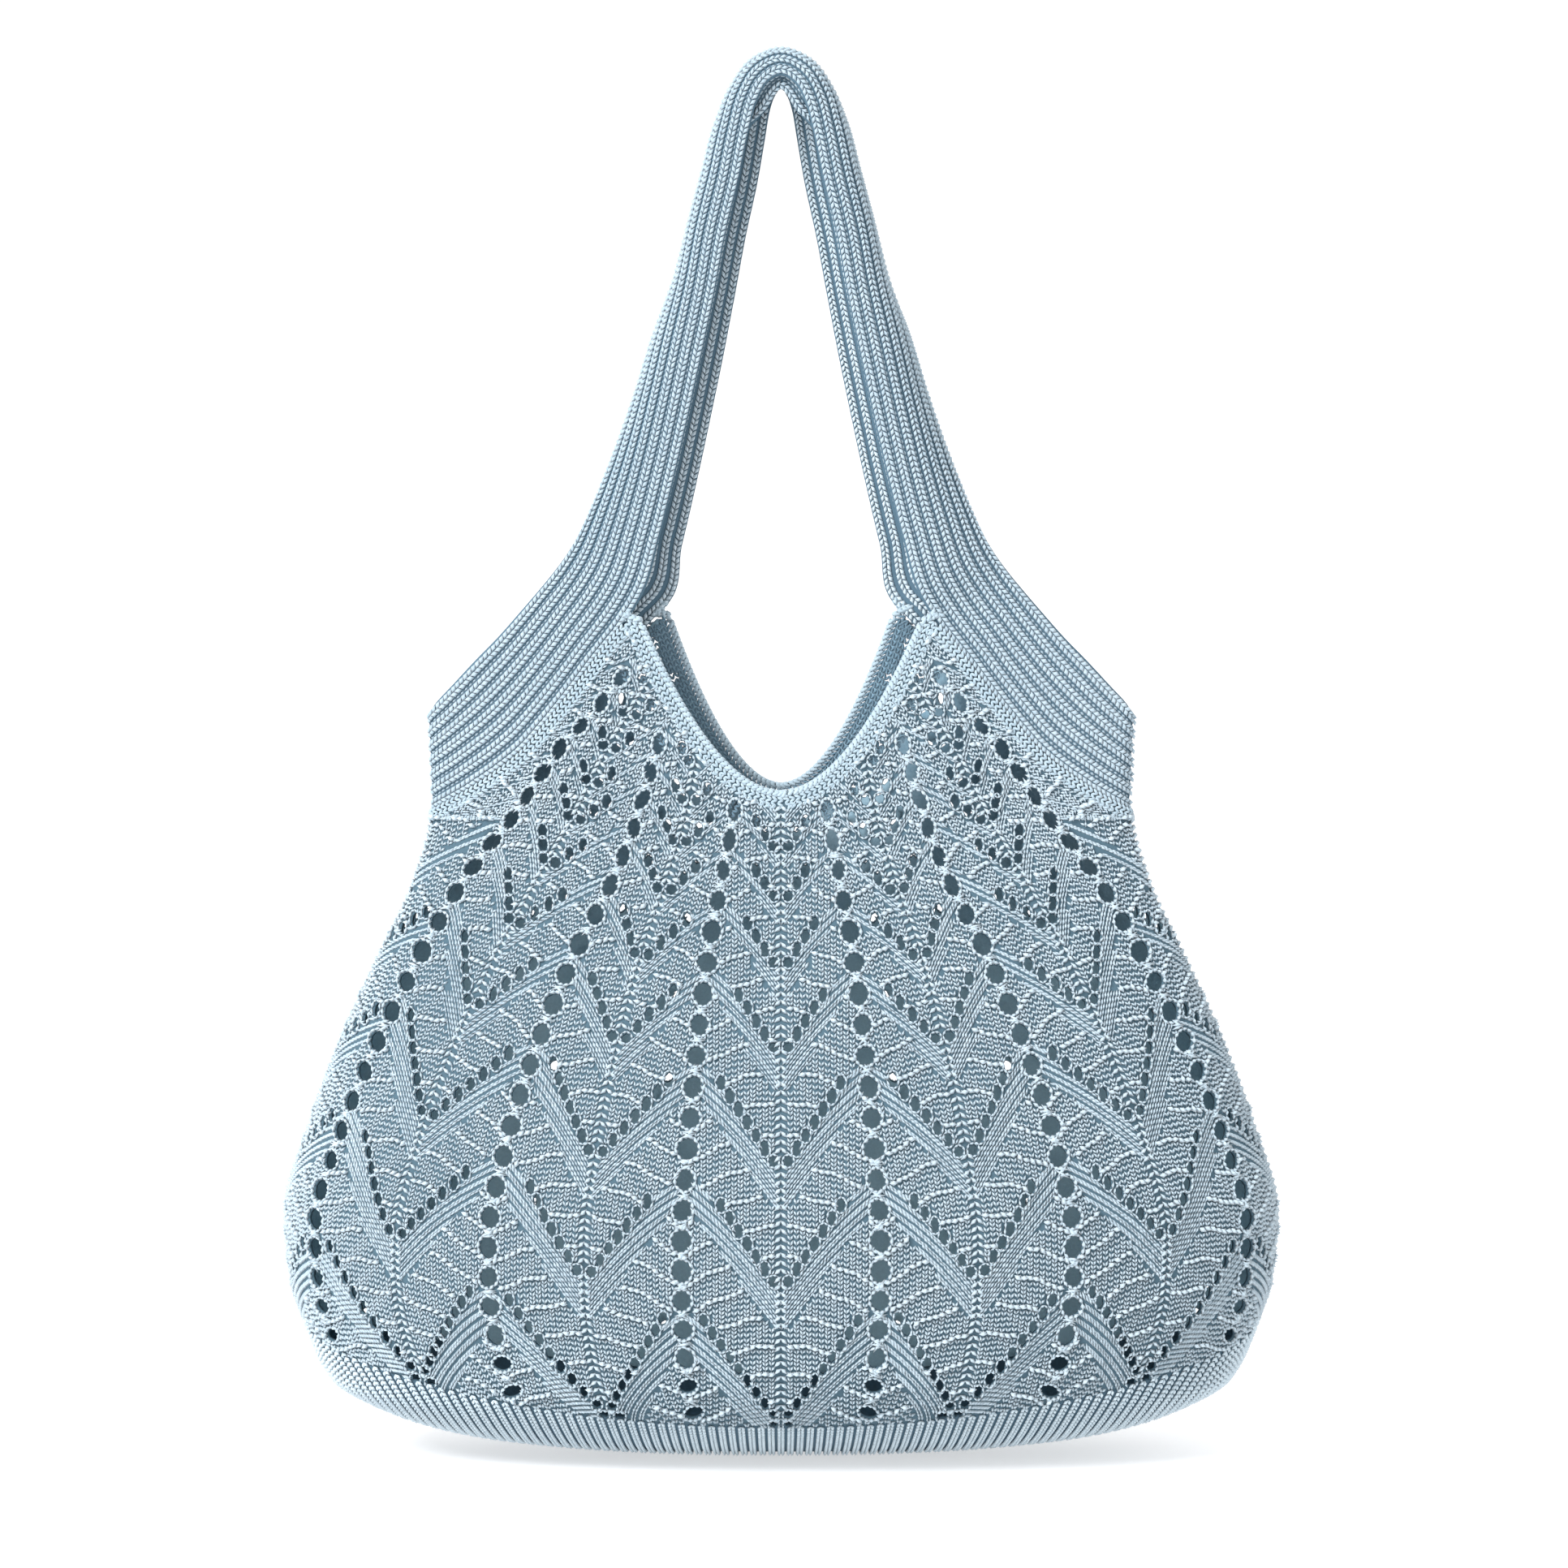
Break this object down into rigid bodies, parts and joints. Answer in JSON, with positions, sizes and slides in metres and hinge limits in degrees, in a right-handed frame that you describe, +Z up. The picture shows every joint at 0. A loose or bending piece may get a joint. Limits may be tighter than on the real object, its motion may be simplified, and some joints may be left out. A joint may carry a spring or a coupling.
{
  "type": "crochet shoulder bag",
  "caption": "Soft open-top shoulder bag in lace knit, with a ribbed base and a ribbed strap that edges the mouth and rises as two nested handles.",
  "frame": {"origin": "the point under the top of the handles where the bag hangs", "axes": "+Z up, front towards -Y, +X to the bag's right as seen from the front"},
  "size_m": [0.399, 0.14, 0.563],
  "materials": {
    "lace_yarn": "matte cotton yarn",
    "rib_yarn": "matte cotton yarn, ribbed",
    "edge_yarn": "matte cotton yarn, twisted"
  },
  "bodies": {
    "root": {"lace_front": "lace_yarn", "lace_back": "lace_yarn", "base_band": "rib_yarn", "strap_band": "rib_yarn", "neck_edge_front": "edge_yarn", "neck_edge_back": "edge_yarn"}
  },
  "joints": []
}
